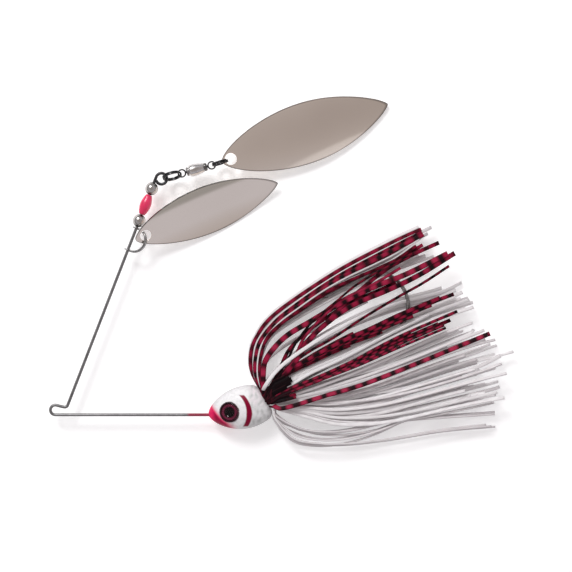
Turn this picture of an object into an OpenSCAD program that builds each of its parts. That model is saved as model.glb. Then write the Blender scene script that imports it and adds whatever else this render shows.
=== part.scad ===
// Spinnerbait lying on its side: V-shaped wire arm, lead head with hook and silicone skirt,
// one willow-leaf blade on a clevis with three beads and one on a swivel with split rings.
// +X is the longest extent (line tie to skirt tips), +Z is up from the table it lies on.
// The origin is at the middle of the footprint, on the table. Millimetres.

/* [Wire arm] */
// wire diameter
wire_d = 0.9; // [0.8:0.05:1.0]
// height of the wire and hook plane above the table
plane_z = 4.8; // [4.8:0.1:6]
// length of the lower arm, nose to line-tie bend
lower_arm = 46; // [42:1:50]
// line-tie bend radius at the wire centre
tie_r = 1.45; // [1.3:0.05:1.6]
// slope of the upper arm
arm_angle = 68.8; // [66:0.2:71]
// upper arm, lower bend to the middle of the upper bead
arm_bead_at = 70.6; // [70:0.1:72]
// end eye radius at the wire centre
arm_eye_r = 1.65; // [1.6:0.05:1.8]

/* [Head and hook] */
// head height, back to chin
head_h = 12.9; // [12:0.1:13.5]
// head thickness, cheek to cheek
head_t = 9.6; // [9:0.1:9.8]
// length of the full teardrop before its tail is cut off
head_l = 22.5; // [22:0.5:23.5]
// slope of the head
head_angle = 12; // [10:0.5:14]
// slope of the hook shank
shank_angle = 27.3; // [26:0.1:28.5]
// hook wire diameter
hook_d = 1.25; // [1.1:0.05:1.3]
// shank length from the back of the head to the bend
shank_l = 42; // [40:0.5:44]
// bend radius at the wire centre
bend_r = 9.8; // [9.4:0.1:10.2]
// straight part of the point leg
point_l = 11; // [9:0.5:13]
// eye diameter
eye_d = 6.1; // [5.6:0.1:6.3]

/* [Blades] */
// rear blade length
rear_l = 53.2; // [50:0.2:54]
// rear blade width
rear_w = 18.4; // [17:0.2:19]
// rear blade hole
rear_hole = 3.6; // [3.4:0.1:3.8]
// front blade length
front_l = 46; // [43:0.2:47]
// front blade width
front_w = 15.3; // [14:0.1:16]
// front blade hole
front_hole = 3.4; // [3.3:0.1:3.6]
// blade sheet thickness
sheet = 0.45; // [0.4:0.05:0.5]

/* [Tackle] */
// metal bead diameter
bead_d = 3.9; // [3.7:0.1:3.95]
// red spindle bead length
spindle_l = 6.3; // [6:0.1:6.35]
// clevis bend radius
clevis_r = 3.5; // [3.3:0.1:3.6]
// clevis tilt about the upper arm
clevis_tilt = 20; // [19:1:22]
// front split ring radius at its middle
ring_a_r = 2.7; // [2.6:0.05:2.8]
// rear split ring radius at its middle
ring_b_r = 2.3; // [2.25:0.05:2.4]

/* [Hidden] */
$fn = 48;
eps = 0.01;
lap = 0.05;

// The nose of the head seen from the middle of the footprint.
nose = [-21.24, -43.27];

// Unit vectors in the wire plane.
function dir(a) = [cos(a), sin(a), 0];
function left(a) = [-sin(a), cos(a), 0];

// Hook shank line and the eye that the wire arm is bent through, both cast into the head.
collar_at = [17.2, 4.9, 0];
hook_eye_r = 1.75;
hook_eye_back = 4.6;
hook_eye = collar_at - hook_eye_back * dir(shank_angle);

// Wire arm. Its root crosses the hook eye square, then turns to run out of the nose.
root_heading = shank_angle - 90;
root_turn_r = (hook_eye[1] + 1.0 * sin(root_heading)) / (1 + sin(shank_angle));
root_start = hook_eye - 1.5 * dir(root_heading);
tie_centre = [-lower_arm, tie_r, 0];
corner = [-42.6, 2.0, 0];
arm_dir = dir(arm_angle);
arm_right = -left(arm_angle);
arm_eye_at = arm_bead_at + 3.85;
function on_arm(s) = corner + s * arm_dir;
arm_eye = on_arm(arm_eye_at) + arm_eye_r * arm_right;
short_slope = 13;
corner_r = 1.0;
corner_t = corner_r * tan((arm_angle + short_slope) / 2);

// Tackle on the upper arm, measured along it.
bore = wire_d + 0.2;
bead_low_at = arm_bead_at - bead_d - spindle_l - 0.1;
clevis_at = bead_low_at - bead_d / 2 - clevis_r - 0.45;
clevis_leg = 1.0;
clevis_w = 0.9;
clevis_t = 0.35;

// The front blade hangs on the clevis bend, 45 degrees round from the middle of the U.
front_pitch = 5.0;
front_roll = 28;
front_arc = 45;
hang_r = clevis_r + 0.2;
hang_out = clevis_leg + hang_r * cos(front_arc);
front_hole_at = on_arm(clevis_at) + hang_out * cos(clevis_tilt) * arm_right
  + hang_r * sin(front_arc) * arm_dir + [0, 0, hang_out * sin(clevis_tilt)];

// Swivel and split rings, a chain from the arm's end eye to the rear blade.
chain_a = 15;
chain_b = 15;
chain_c = 17.5;
ring_w = 0.5;
ring_h = 1.0;
swivel_eye_r = 1.1;
swivel_eye_d = 0.45;
ring_a = arm_eye + (0.6 + ring_a_r) * dir(chain_a);
swivel_front = arm_eye + (0.6 + 2 * ring_a_r + 0.33) * dir(chain_a);
barrel_l = 6.4;
barrel_at = 1.45;
swivel_rear = swivel_front + (barrel_at + barrel_l + 1.4) * dir(chain_b);
ring_b = swivel_rear + (0.35 + ring_b_r) * dir(chain_c);
rear_hole_at = [6.6, 76.8, -1];

// Everything is drawn from the nose and lifted to the wire plane.
module placed() {
  translate([nose[0], nose[1], plane_z]) children();
}

// A round rod from point a along heading h in the wire plane, run a little into its neighbours.
module rod(a, h, l, d) {
  translate(a) rotate([0, 0, h]) rotate([0, 90, 0]) translate([0, 0, -lap])
    cylinder(d = d, h = l + 2 * lap);
}

// A round bar bent about point c, from angle a0 through sweep w, a hair thinner than its rods.
module bend(c, r, a0, w, d) {
  translate(c) rotate([0, 0, min(a0, a0 + w)])
    rotate_extrude(angle = abs(w)) translate([r, 0]) circle(d = d - lap / 4, $fn = 32);
}

// The root of the wire arm, from the hook eye to the nose and out to length l.
module wire_root(d, l) {
  root_end = hook_eye + 1.0 * dir(root_heading);
  turn_c = root_end - root_turn_r * left(root_heading);
  lower_start = turn_c - [0, root_turn_r, 0];
  rod(root_start, root_heading, 2.5, d);
  bend(turn_c, root_turn_r, root_heading + 90, -90 - shank_angle, d);
  rod(lower_start, 180, l + lower_start[0], d);
}

// The hook eye and the first length l of the shank.
module hook_root(d, l) {
  translate(hook_eye) rotate([0, 0, shank_angle]) rotate([90, 0, 0])
    rotate_extrude() translate([hook_eye_r, 0]) circle(d = d, $fn = 32);
  rod(hook_eye + hook_eye_r * dir(shank_angle), shank_angle, l - hook_eye_r, d);
}

module wire_shape(d) {
  short_heading = -short_slope;
  // the short straight meets the line-tie bend at its tangent point
  run = (corner - tie_centre) * left(short_heading);
  short_start = tie_centre + tie_r * left(short_heading);
  corner_at = corner + (tie_r - run) * left(short_heading);
  corner_in = corner_at - corner_t * dir(short_heading);
  corner_c = corner_in + corner_r * left(short_heading);
  wire_root(d, lower_arm);
  bend(tie_centre, tie_r, 270, -180 - short_slope, d);
  rod(short_start, short_heading, norm(corner_in - short_start), d);
  bend(corner_c, corner_r, short_heading - 90, arm_angle + short_slope, d);
  rod(corner_at + corner_t * arm_dir, arm_angle,
      norm(on_arm(arm_eye_at) - corner_at) - corner_t, d);
  bend(arm_eye, arm_eye_r, arm_angle + 90, -318, d);
}

module hook_shape(d) {
  bend_c = collar_at + shank_l * dir(shank_angle) + bend_r * left(shank_angle);
  leg_start = bend_c + bend_r * left(shank_angle);
  hook_root(d, hook_eye_back + shank_l);
  bend(bend_c, bend_r, shank_angle - 90, 180, d);
  rod(leg_start, shank_angle + 180, point_l, d);
  translate(leg_start + point_l * dir(shank_angle + 180)) rotate([0, 0, shank_angle + 180])
    rotate([0, 90, 0]) cylinder(d1 = d - lap / 4, d2 = 0.1, h = 4.5);
}

// Cheek seats: side is +1 for the cheek that faces up and -1 for the one on the table.
module on_cheek(side, lift) {
  translate([7.5, 1.1, 0]) rotate([0, -17 * side, 0]) translate([0, 0, side * lift])
    mirror([0, 0, side < 0 ? 1 : 0]) children();
}

module wire_arm() {
  color([0.55, 0.55, 0.56]) placed() wire_shape(wire_d);
}

module head_body() {
  steps = 22;
  profile = [for (i = [0:steps]) let (u = i / steps)
    [head_h / 2 * pow(sin(180 * u), 0.58), head_l * u]];
  intersection() {
    rotate([0, 0, head_angle]) scale([1, 1, head_t / head_h]) rotate([0, 90, 0])
      rotate_extrude($fn = 44) polygon(concat([[0, 0]], profile, [[0, head_l]]));
    translate(collar_at) rotate([0, 0, shank_angle]) translate([-60, -30, -30]) cube(60);
  }
}

module head() {
  color([0.9, 0.88, 0.89]) placed() difference() {
    union() {
      head_body();
      rod(collar_at - 2 * dir(shank_angle), shank_angle, 7, 3.0);
    }
    wire_root(wire_d + 0.04, 5);
    hook_root(hook_d + 0.04, hook_eye_back + 12);
    for (side = [-1, 1]) on_cheek(side, 3.5) cylinder(d = eye_d + 0.1, h = 6);
  }
}

module hook() {
  color([0.42, 0.42, 0.44]) placed() {
    hook_shape(hook_d);
    // barb
    leg_y = collar_at + shank_l * dir(shank_angle) + 2 * bend_r * left(shank_angle);
    translate(leg_y + (point_l + 0.6) * dir(shank_angle + 180)) rotate([0, 0, shank_angle + 180])
      translate([0, 0, -0.2]) linear_extrude(height = 0.4)
        polygon([[0, 1.35], [-0.2, 1.2], [1.6, 0.1], [3.2, 0.1]]);
  }
}

module eye_foil(side) {
  color([0.45, 0.08, 0.2]) placed() on_cheek(side, 3.53) cylinder(d = eye_d, h = 0.3);
}

module eye_lens(side) {
  rim = 0.15;
  dome = 0.8;
  rise = dome - rim;
  ball = (eye_d * eye_d / 4 + rise * rise) / (2 * rise);
  color([0.9, 0.9, 0.9, 0.4]) placed() on_cheek(side, 3.86) rotate_extrude() intersection() {
    translate([0, dome - ball]) circle(r = ball, $fn = 144);
    square([eye_d / 2, dome + 1]);
  }
}

module eye_foil_left() { eye_foil(1); }
module eye_foil_right() { eye_foil(-1); }
module eye_lens_left() { eye_lens(1); }
module eye_lens_right() { eye_lens(-1); }

// Rubber band that holds the strand roots on the keeper behind the head.
module skirt_collar() {
  color([0.12, 0.1, 0.1]) placed() translate(collar_at) rotate([0, 0, shank_angle])
    rotate([0, 90, 0]) translate([0, 0, 0.3]) rotate_extrude()
      translate([1.6, 0]) square([1.5, 2.6]);
}

// A flat fan of strands: a root knob and tips, side +1 above the hook and -1 below it.
module fan(side, root, tips, thick) {
  z = side * 2.85;
  placed() hull() {
    translate([root[0], root[1], side * 2.6]) sphere(d = 3.0, $fn = 24);
    for (t = tips) translate([t[0], t[1], z]) sphere(d = thick, $fn = 24);
  }
}

upper_tips = [[16, 19], [24, 32], [44, 46], [64, 57], [75, 44]];
middle_tips = [[79.5, 37.5], [84.5, 20.5]];
lower_tips = [[88.5, 11], [86, 0], [76, -5], [52, -7.6], [30, -7.6], [24, -4]];

module skirt_upper(side) { color([0.75, 0.1, 0.25]) fan(side, [20.8, 11.6], upper_tips, 3.2); }
module skirt_middle(side) { color([0.7, 0.15, 0.25]) fan(side, [24.5, 8.4], middle_tips, 3.2); }
module skirt_lower(side) { color([0.93, 0.88, 0.9]) fan(side, [23.5, 2.6], lower_tips, 3.8); }
module skirt_upper_near() { skirt_upper(1); }
module skirt_upper_far() { skirt_upper(-1); }
module skirt_middle_near() { skirt_middle(1); }
module skirt_middle_far() { skirt_middle(-1); }
module skirt_lower_near() { skirt_lower(1); }
module skirt_lower_far() { skirt_lower(-1); }

// Clevis frame: x out from the upper arm, y along it, z the normal of its U.
module on_clevis() {
  placed() translate(on_arm(clevis_at)) rotate([0, 0, arm_angle - 90])
    rotate([0, -clevis_tilt, 0]) children();
}

module clevis() {
  color([0.6, 0.6, 0.62]) on_clevis() difference() {
    union() {
      translate([clevis_leg, 0, 0]) rotate([0, 0, -90]) rotate_extrude(angle = 180)
        translate([clevis_r - clevis_t / 2, -clevis_w / 2]) square([clevis_t, clevis_w]);
      for (s = [-1, 1]) {
        translate([0, s * clevis_r - clevis_t / 2, -clevis_w / 2])
          cube([clevis_leg + eps, clevis_t, clevis_w]);
        translate([0, s * clevis_r - clevis_t / 2, 0]) rotate([-90, 0, 0])
          cylinder(d = 2.3, h = clevis_t);
      }
    }
    translate([0, -clevis_r - 1, 0]) rotate([-90, 0, 0]) cylinder(d = bore, h = 2 * clevis_r + 2);
  }
}

// Willow-leaf blade in its own frame: hole at the origin, tip along +X, dished upwards.
module blade(l, w, hole_d, near) {
  steps = 40;
  long_r = 3.45 * l;
  cross_r = 2.1 * w;
  half = [for (i = [0:steps]) let (u = i / steps)
    [l * u - near, w / 2 * pow(max(sin(180 * u), 0), u < 0.5 ? 0.62 : 0.72)]];
  other = [for (i = [steps - 1:-1:1]) [half[i][0], -half[i][1]]];
  mid = l / 2 - near;
  rise = long_r - sqrt(long_r * long_r - mid * mid);
  difference() {
    intersection() {
      translate([mid, 0, long_r - rise]) rotate([90, 0, 0]) rotate([0, 0, -100])
        rotate_extrude(angle = 20) intersection() {
          difference() {
            translate([long_r - cross_r, 0]) circle(r = cross_r, $fn = 96);
            translate([long_r - cross_r, 0]) circle(r = cross_r - sheet, $fn = 96);
          }
          translate([long_r - 8, -w]) square([9, 2 * w]);
        }
      translate([0, 0, -20]) linear_extrude(height = 60) polygon(concat(half, other));
    }
    translate([0, 0, -5]) cylinder(d = hole_d, h = 10);
  }
}

module front_blade() {
  color([0.75, 0.75, 0.76]) placed() translate(front_hole_at)
    rotate([0, 0, 22.2]) rotate([0, front_pitch, 0]) rotate([front_roll, 0, 0])
      blade(front_l, front_w, front_hole, 3.3);
}

module rear_blade() {
  color([0.72, 0.7, 0.68]) placed() translate(rear_hole_at)
    rotate([0, 0, 19.6]) rotate([0, 3.75, 0])
      blade(rear_l, rear_w, rear_hole, 2.8);
}

module on_arm_axis(s) {
  placed() translate(on_arm(s)) rotate([0, 0, arm_angle]) rotate([0, 90, 0]) children();
}

module ball_bead(s) {
  color([0.6, 0.6, 0.6]) on_arm_axis(s) difference() {
    sphere(d = bead_d);
    translate([0, 0, -bead_d]) cylinder(d = bore, h = 2 * bead_d);
  }
}

module bead_lower() { ball_bead(bead_low_at); }
module bead_upper() { ball_bead(arm_bead_at); }

module bead_spindle() {
  h = spindle_l / 2;
  color([0.8, 0.1, 0.2]) on_arm_axis((bead_low_at + arm_bead_at) / 2) difference() {
    intersection() {
      rotate_extrude() polygon([
        [0, -h], [0.85, -h], [1.25, -h + 0.9], [1.65, -0.7],
        [1.65, 0.7], [1.25, h - 0.9], [0.85, h], [0, h]]);
      cube(20, center = true);
    }
    translate([0, 0, -h - 1]) cylinder(d = bore, h = spindle_l + 2);
  }
}

// A split ring about its centre c, in the plane of its chain heading rolled from the wire plane.
module split_ring(c, heading, roll, r) {
  color([0.3, 0.3, 0.31]) placed() translate(c) rotate([0, 0, heading]) rotate([roll, 0, 0])
    rotate_extrude() translate([r - ring_w / 2, -ring_h / 2]) square([ring_w, ring_h]);
}

module split_ring_front() { split_ring(ring_a, chain_a, 75, ring_a_r); }
module split_ring_rear() { split_ring(ring_b, chain_c, 90, ring_b_r); }

// Swivel eye with its stem and the headed end that the barrel closes over.
module swivel_eye(c, heading) {
  color([0.35, 0.35, 0.36]) placed() translate(c) rotate([0, 0, heading]) {
    rotate_extrude() translate([swivel_eye_r, 0]) circle(d = swivel_eye_d, $fn = 32);
    rotate([0, 90, 0]) translate([0, 0, swivel_eye_r]) cylinder(d = 0.7, h = 2.0);
    rotate([0, 90, 0]) translate([0, 0, swivel_eye_r + 2.0 - eps]) cylinder(d = 1.5, h = 0.5);
  }
}

module swivel_front_eye() { swivel_eye(swivel_front, chain_b); }
module swivel_rear_eye() { swivel_eye(swivel_rear, chain_b + 180); }

module in_barrel() {
  placed() translate(swivel_front + barrel_at * dir(chain_b)) rotate([0, 0, chain_b])
    rotate([0, 90, 0]) children();
}

module swivel_barrel() {
  b = barrel_l;
  color([0.75, 0.74, 0.74]) in_barrel() rotate_extrude() polygon([
    [0.5, 0], [1.25, 0], [1.6, 0.35], [1.85, 1.2], [1.85, 2.6], [1.6, 4.2],
    [1.3, 5.6], [1.15, b], [0.5, b], [0.5, b - 0.5], [0.9, b - 0.9], [0.9, 3.6],
    [1.4, 2.6], [1.4, 1.0], [1.1, 0.5], [0.5, 0.5]]);
}

module swivel_balls() {
  color([0.8, 0.8, 0.8]) in_barrel()
    for (i = [0:4]) rotate([0, 0, 72 * i]) translate([0.78, 0, 1.1]) sphere(d = 0.5);
}

wire_arm();
head();
hook();
eye_foil_left();
eye_foil_right();
eye_lens_left();
eye_lens_right();
skirt_collar();
skirt_upper_near();
skirt_upper_far();
skirt_middle_near();
skirt_middle_far();
skirt_lower_near();
skirt_lower_far();
clevis();
front_blade();
bead_lower();
bead_spindle();
bead_upper();
split_ring_front();
swivel_front_eye();
swivel_barrel();
swivel_balls();
swivel_rear_eye();
split_ring_rear();
rear_blade();
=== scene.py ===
import bpy
import math
import random
from mathutils import Matrix, Vector


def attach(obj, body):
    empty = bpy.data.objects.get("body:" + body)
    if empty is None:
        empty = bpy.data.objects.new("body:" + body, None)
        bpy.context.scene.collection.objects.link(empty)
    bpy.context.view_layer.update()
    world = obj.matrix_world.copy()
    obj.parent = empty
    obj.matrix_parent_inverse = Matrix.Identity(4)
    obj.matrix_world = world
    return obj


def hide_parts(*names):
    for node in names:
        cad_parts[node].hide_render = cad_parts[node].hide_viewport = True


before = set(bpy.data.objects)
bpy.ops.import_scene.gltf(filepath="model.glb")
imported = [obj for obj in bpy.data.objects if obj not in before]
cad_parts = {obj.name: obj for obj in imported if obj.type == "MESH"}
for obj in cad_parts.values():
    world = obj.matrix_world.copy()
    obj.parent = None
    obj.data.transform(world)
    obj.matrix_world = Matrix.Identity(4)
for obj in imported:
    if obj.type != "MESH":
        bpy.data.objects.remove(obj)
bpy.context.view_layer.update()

# Lengths below are millimetres from the tip of the nose, z from the wire plane.
NOSE = Vector((-21.24, -43.27, 4.8))
RAD = math.radians


def vdir(a):
    return Vector((math.cos(RAD(a)), math.sin(RAD(a)), 0.0))


def vleft(a):
    return Vector((-math.sin(RAD(a)), math.cos(RAD(a)), 0.0))


# Headings in degrees: the hook's shank, the upper arm, the swivel and the rear split ring.
SHANK = 27.3
ARM = 68.8
SWIVEL = 15
REAR_RING = 17.5
# The clevis's tilt about the arm, in degrees.
TILT = 20.0
# Centre of the skirt band's seat, and the corner at the foot of the upper arm.
COLLAR = Vector((17.2, 4.9, 0.0))
CORNER = Vector((-42.6, 2.0, 0.0))
# Radii: the wire, its line-tie bend and end eye, the clevis bend, the split rings and the eyes.
WIRE_R = 0.45
TIE_R = 1.45
ARM_EYE_R = 1.65
CLEVIS_R = 3.5
RING_A = 2.7
RING_B = 2.3
EYE_R = 3.05
# Lengths of the spindle bead and the swivel barrel, and the ball beads' diameter.
SPINDLE = 6.3
BARREL = 6.4
BEAD_D = 3.9
# Places along the upper arm, measured from its corner.
ARM_EYE_AT = 74.45
BEAD_UP = 70.6
BEAD_LOW = BEAD_UP - BEAD_D - SPINDLE - 0.1
CLEVIS_AT = BEAD_LOW - BEAD_D / 2 - CLEVIS_R - 0.45
# Points round a turned piece.
ROUND = 48


def on_arm(s):
    return CORNER + vdir(ARM) * s


ARM_EYE = on_arm(ARM_EYE_AT) - vleft(ARM) * ARM_EYE_R
SWIVEL_F = ARM_EYE + vdir(SWIVEL) * (0.6 + 2 * RING_A + 0.33)
SWIVEL_R = SWIVEL_F + vdir(SWIVEL) * (1.45 + BARREL + 1.4)
RING_A_C = ARM_EYE + vdir(SWIVEL) * (0.6 + RING_A)
RING_B_C = SWIVEL_R + vdir(REAR_RING) * (0.35 + RING_B)


# ---------------------------------------------------------------- materials


def color_ramp(nt, fac, stops):
    """A colour ramp node in tree nt with (position, colour) stops."""
    n = nt.nodes.new("ShaderNodeValToRGB")
    e = n.color_ramp.elements
    while len(e) < len(stops):
        e.new(0.5)
    for i, (pos, col) in enumerate(stops):
        e[i].position = pos
        e[i].color = (*col, 1.0)
    nt.links.new(fac, n.inputs["Fac"])
    return n.outputs["Color"]


class Mat:
    """A node material with short calls for its sockets and links."""

    def __init__(self, name, **values):
        self.m = bpy.data.materials.new(name)
        self.m.use_nodes = True
        self.nt = self.m.node_tree
        self.b = self.nt.nodes["Principled BSDF"]
        for key, v in values.items():
            self.b.inputs[key.replace("_", " ")].default_value = v

    def node(self, kind, **values):
        n = self.nt.nodes.new(kind)
        for k, v in values.items():
            setattr(n, k, v)
        return n

    def link(self, a, b):
        self.nt.links.new(a, b)

    def to(self, out, socket):
        self.nt.links.new(out, self.b.inputs[socket])

    def coords(self):
        return self.node("ShaderNodeTexCoord").outputs["Object"]

    def noise(self, scale, detail=3.0):
        n = self.node("ShaderNodeTexNoise")
        n.inputs["Scale"].default_value = scale
        n.inputs["Detail"].default_value = detail
        n.inputs["Roughness"].default_value = 0.5
        self.link(self.coords(), n.inputs["Vector"])
        return n.outputs["Fac"]

    def ramp(self, fac, stops):
        return color_ramp(self.nt, fac, stops)

    def attr(self, name):
        n = self.node("ShaderNodeAttribute")
        n.attribute_name = name
        return n

    def mix(self, fac, a, b, blend="MIX"):
        n = self.node("ShaderNodeMix", data_type="RGBA", blend_type=blend)
        for sock, v in ((n.inputs[0], fac), (n.inputs[6], a), (n.inputs[7], b)):
            if isinstance(v, (int, float)):
                sock.default_value = v
            elif isinstance(v, tuple):
                sock.default_value = (*v, 1.0)
            else:
                self.link(v, sock)
        return n.outputs[2]

    def bump(self, height, strength):
        n = self.node("ShaderNodeBump")
        n.inputs["Strength"].default_value = strength
        n.inputs["Distance"].default_value = 0.0002
        self.link(height, n.inputs["Height"])
        self.to(n.outputs["Normal"], "Normal")


def steel(name, lo, hi, rough):
    """Plated or bare steel; a vertex attribute darkens it with painted shade."""
    k = Mat(name, Metallic=1.0, Roughness=rough)
    plain = k.ramp(k.noise(900), [(0.3, lo), (0.7, hi)])
    k.to(k.mix(k.attr("painted_shade").outputs["Fac"], plain, (0.045, 0.042, 0.04)), "Base Color")
    k.to(k.ramp(k.noise(2500, 2), [(0.3, (rough * 0.8,) * 3), (0.7, (rough * 1.2,) * 3)]), "Roughness")
    return k


def wire_material():
    k = Mat("wire_steel", Metallic=0.85, Roughness=0.34)
    metal = k.ramp(k.noise(700), [(0.3, (0.17, 0.168, 0.17)), (0.7, (0.26, 0.257, 0.258))])
    paint = k.ramp(k.noise(500), [(0.3, (0.24, 0.008, 0.035)), (0.7, (0.38, 0.02, 0.065))])
    mark = k.attr("mark").outputs["Fac"]
    # painted shade: the attribute darkens the wire near its end eye
    painted_shade = k.mix(k.attr("painted_shade").outputs["Fac"], metal, (0.055, 0.055, 0.058))
    k.to(k.mix(mark, painted_shade, paint), "Base Color")
    k.to(k.ramp(mark, [(0.0, (0.85,) * 3), (1.0, (0.1,) * 3)]), "Metallic")
    return k.m


def head_material():
    k = Mat("head_paint", Roughness=0.4, Specular_IOR_Level=0.1, Coat_Weight=0.04, Coat_Roughness=0.1)
    col = k.attr("paint").outputs["Color"]
    speck = k.ramp(k.noise(1100, 3), [(0.35, (0.88, 0.88, 0.88)), (0.62, (1.0, 1.0, 1.0))])
    k.to(k.mix(1.0, col, speck, "MULTIPLY"), "Base Color")
    k.bump(k.noise(600, 3), 0.12)
    return k.m


def strand_material(name, clear, red):
    """Silicone strand: 'bars' marks its dark bars, 'tone' its own tint and 'edge' its cut sides, which are
    painted darker as shade.
    """
    k = Mat(name, Roughness=0.5, Specular_IOR_Level=0.06 if red else 0.3)
    bars = k.attr("bars").outputs["Fac"]
    tone = k.attr("tone").outputs["Fac"]
    edge = k.attr("edge").outputs["Fac"]
    if red:
        base = k.ramp(
            tone, [(0.0, (0.17, 0.006, 0.022)), (0.5, (0.33, 0.013, 0.05)), (1.0, (0.50, 0.05, 0.11))],
        )
        dark = k.ramp(tone, [(0.0, (0.006, 0.003, 0.004)), (1.0, (0.018, 0.005, 0.008))])
        # side: painted shade colour for the cut sides
        side = k.ramp(tone, [(0.0, (0.02, 0.004, 0.006)), (1.0, (0.10, 0.01, 0.022))])
        full = k.mix(bars, base, dark)
    else:
        base = k.ramp(
            tone, [(0.0, (0.64, 0.60, 0.615)), (0.45, (0.85, 0.815, 0.825)), (1.0, (0.95, 0.935, 0.94))],
        )
        dark = k.ramp(tone, [(0.0, (0.30, 0.24, 0.27)), (1.0, (0.75, 0.70, 0.72))])
        # side: painted shade colour for the cut sides
        side = k.ramp(tone, [(0.0, (0.50, 0.465, 0.48)), (1.0, (0.80, 0.77, 0.78))])
        full = k.mix(bars, base, dark)
    # painted shade: the cut sides take the darker side colour
    k.to(k.mix(edge, full, side), "Base Color")
    k.b.inputs["Transmission Weight"].default_value = clear
    k.bump(k.noise(900, 2), 0.1)
    return k.m


def blade_material():
    k = Mat("blade_nickel", Metallic=1.0, Roughness=0.1)
    plate = k.ramp(k.noise(60, 2), [(0.3, (0.88, 0.80, 0.735)), (0.7, (0.91, 0.83, 0.765))])
    # painted shade: a dark band along the blade's outline
    k.to(k.mix(k.attr("rim").outputs["Fac"], plate, (0.24, 0.22, 0.205)), "Base Color")
    k.to(k.ramp(k.noise(900, 3), [(0.3, (0.075,) * 3), (0.7, (0.105,) * 3)]), "Roughness")
    return k.m


def foil_material():
    k = Mat("eye_foil_print", Roughness=0.5, Specular_IOR_Level=0.08)
    r = k.attr("rad").outputs["Fac"]
    rings = k.ramp(
        r,
        [
            (0.0, (0.004, 0.003, 0.003)),
            (0.50, (0.006, 0.003, 0.004)),
            (0.56, (0.13, 0.012, 0.04)),
            (0.66, (0.24, 0.03, 0.075)),
            (0.76, (0.10, 0.008, 0.026)),
            (0.84, (0.012, 0.006, 0.008)),
            (0.93, (0.035, 0.012, 0.018)),
            (1.0, (0.16, 0.07, 0.09)),
        ],
    )
    grain = k.ramp(k.noise(2500, 2), [(0.3, (0.8, 0.8, 0.8)), (0.7, (1.0, 1.0, 1.0))])
    k.to(k.mix(1.0, rings, grain, "MULTIPLY"), "Base Color")
    return k.m


def lens_material():
    k = Mat("eye_dome", Roughness=0.04, IOR=1.12, Transmission_Weight=1.0, Specular_IOR_Level=0.1)
    k.to(k.ramp(k.noise(800), [(0.3, (0.97, 0.95, 0.96)), (0.7, (1.0, 1.0, 1.0))]), "Base Color")
    return k.m


def red_bead_material():
    k = Mat("bead_red", Roughness=0.3, Coat_Weight=0.3, Coat_Roughness=0.1)
    k.to(k.ramp(k.noise(500), [(0.3, (0.70, 0.016, 0.09)), (0.7, (0.86, 0.035, 0.14))]), "Base Color")
    return k.m


def rubber_material():
    k = Mat("collar_rubber", Roughness=0.55)
    k.to(k.ramp(k.noise(900), [(0.3, (0.02, 0.015, 0.016)), (0.7, (0.06, 0.04, 0.045))]), "Base Color")
    k.bump(k.noise(1500, 2), 0.3)
    return k.m


WIRE = wire_material()
HEAD = head_material()
HOOK = steel("hook_steel", (0.22, 0.215, 0.215), (0.36, 0.355, 0.35), 0.24).m
NICKEL = steel("bright_nickel", (0.56, 0.545, 0.535), (0.70, 0.68, 0.67), 0.14).m
BALL = steel("bead_nickel", (0.44, 0.42, 0.405), (0.60, 0.575, 0.56), 0.16).m
DARK = steel("black_nickel", (0.030, 0.030, 0.032), (0.085, 0.085, 0.088), 0.22).m
BLADE = blade_material()
FOIL = foil_material()
LENS = lens_material()
RED = red_bead_material()
RUBBER = rubber_material()
RED_STRAND = strand_material("strand_red", 0.0, True)
PEARL_STRAND = strand_material("strand_pearl", 0.08, False)


# ---------------------------------------------------------------- geometry


def piece(name, verts, faces, body, material, stands_for=(), attrs=None, colors=None):
    me = bpy.data.meshes.new(name)
    me.from_pydata([tuple((Vector(v) + NOSE) / 1000) for v in verts], [], faces)
    for key, values in (attrs or {}).items():
        a = me.attributes.new(key, "FLOAT", "POINT")
        a.data.foreach_set("value", values)
    if colors:
        a = me.attributes.new("paint", "FLOAT_COLOR", "POINT")
        a.data.foreach_set("color", [c for col in colors for c in (*col, 1.0)])
    me.materials.append(material)
    me.polygons.foreach_set("use_smooth", [True] * len(me.polygons))
    ob = bpy.data.objects.new(name, me)
    bpy.context.scene.collection.objects.link(ob)
    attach(ob, body)
    if stands_for:
        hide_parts(*stands_for)
    return ob


def frames(path, closed=False, up=Vector((0, 0, 1)), level=False):
    """(tangent, side, up) along a path, carried without twist, or kept level where it can be."""
    n = len(path)
    out = []
    side = None
    for i in range(n):
        if closed:
            t = path[(i + 1) % n] - path[i - 1]
        else:
            t = path[min(i + 1, n - 1)] - path[max(i - 1, 0)]
        t.normalize()
        if side is None:
            side = up.cross(t)
            if side.length < 1e-6:
                side = Vector((1, 0, 0))
        flat = up.cross(t)
        if level and flat.length > 0.2:
            side = side.lerp(flat.normalized(), 0.35)
        side = side - t * side.dot(t)
        side.normalize()
        out.append((t, side.copy(), t.cross(side)))
    return out


def sweep(path, section, closed=False, scale=None, roll=None, up=Vector((0, 0, 1)), level=False):
    """Sweeps a closed section [(side, up), ...] along path; scale and roll are per point."""
    verts, faces = [], []
    m = len(section)
    fr = frames(path, closed, up, level)
    for i, p in enumerate(path):
        _, s, u = fr[i]
        k = scale[i] if scale else 1.0
        a = roll[i] if roll else 0.0
        ca, sa = math.cos(a), math.sin(a)
        for x, y in section:
            verts.append(p + (s * (x * ca - y * sa) + u * (x * sa + y * ca)) * k)
    n = len(path)
    for i in range(n if closed else n - 1):
        j = (i + 1) % n
        for k in range(m):
            l = (k + 1) % m
            faces.append((i * m + k, i * m + l, j * m + l, j * m + k))
    if not closed:
        faces.append(tuple(reversed(range(m))))
        faces.append(tuple((n - 1) * m + k for k in range(m)))
    return verts, faces


def round_section(r, n=20):
    return [(r * math.cos(2 * math.pi * k / n), r * math.sin(2 * math.pi * k / n)) for k in range(n)]


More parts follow.
